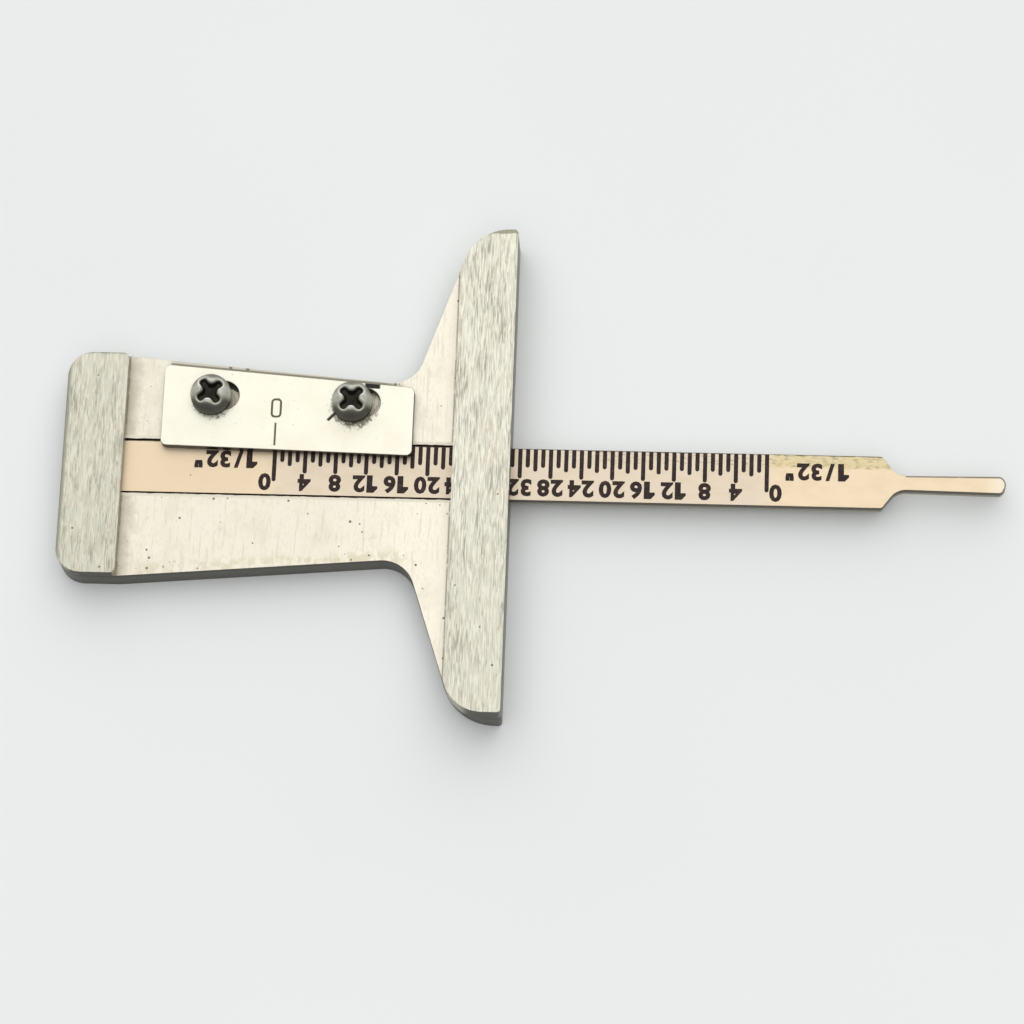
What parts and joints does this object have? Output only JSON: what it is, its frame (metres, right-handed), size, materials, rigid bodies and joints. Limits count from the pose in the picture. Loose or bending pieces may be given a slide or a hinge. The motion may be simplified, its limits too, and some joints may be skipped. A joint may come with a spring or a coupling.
{
  "type": "tread depth gauge",
  "caption": "Flat T-shaped tread depth gauge: a graduated rule slides through a wide foot and is read against an adjustable index plate on the stem.",
  "frame": {"origin": "on the foot's measuring face, in the middle of its length, at the level of the back face", "axes": "+X along the rule, out of the measuring face towards the probe tip; +Y along the foot, to the index plate's side; +Z out of the face that carries the scale"},
  "size_m": [0.0972, 0.052, 0.0062],
  "materials": {
    "plate_steel": "satin nickel-plated sheet, lightly stained",
    "bar_steel": "coarsely brushed across the bar",
    "rule_steel": "satin, worn along one edge",
    "index_steel": "bright satin",
    "screw_steel": "dark oxide",
    "rivet_steel": "ground flush",
    "spring_steel": "blued strip"
  },
  "bodies": {
    "frame": {"body_plate": "plate_steel", "foot_bar": "bar_steel", "rear_bar": "bar_steel", "foot_rivet_1": "rivet_steel", "foot_rivet_2": "rivet_steel", "foot_rivet_3": "rivet_steel", "foot_rivet_4": "rivet_steel", "rear_rivet_1": "rivet_steel", "rear_rivet_2": "rivet_steel", "index_screw_rear": "screw_steel", "index_screw_front": "screw_steel", "friction_spring": "spring_steel"},
    "rule": {"depth_rule": "rule_steel", "stop_pin": "rivet_steel"},
    "index": {"index_plate": "index_steel"}
  },
  "joints": [
    {"name": "rule_slide", "type": "slide", "parent": "frame", "child": "rule", "axis": [1, 0, 0], "range_m": [-0.0508, 0]},
    {"name": "index_adjust", "type": "slide", "parent": "frame", "child": "index", "axis": [1, 0, 0], "range_m": [-0.00175, 0.0004]}
  ]
}
